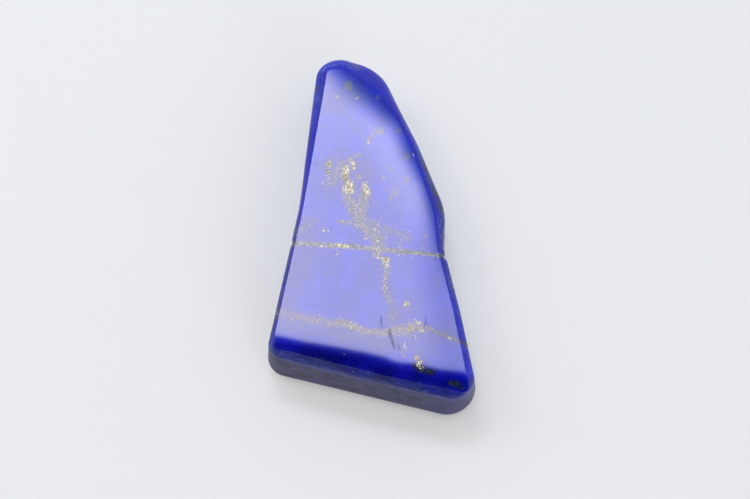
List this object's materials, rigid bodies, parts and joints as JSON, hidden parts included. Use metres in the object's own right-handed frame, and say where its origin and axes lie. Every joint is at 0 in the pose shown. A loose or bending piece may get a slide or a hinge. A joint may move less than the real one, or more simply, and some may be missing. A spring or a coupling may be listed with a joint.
{
  "type": "polished lapis lazuli freeform",
  "caption": "Polished freeform slab of deep blue lapis lazuli: flat tapering face, rounded edges, pale cross veins and golden pyrite flecks.",
  "frame": {"origin": "middle of the slab's box, on its flat ground back", "axes": "+Y along the slab towards its narrow end, +Z out of the polished face, +X to the right seen from the front"},
  "size_m": [0.059, 0.091, 0.016],
  "materials": {
    "lapis": "polished face and hand-ground, less glossy edges; pale calcite veins and golden pyrite flecks"
  },
  "bodies": {
    "root": {"lapis_slab": "lapis"}
  },
  "joints": []
}
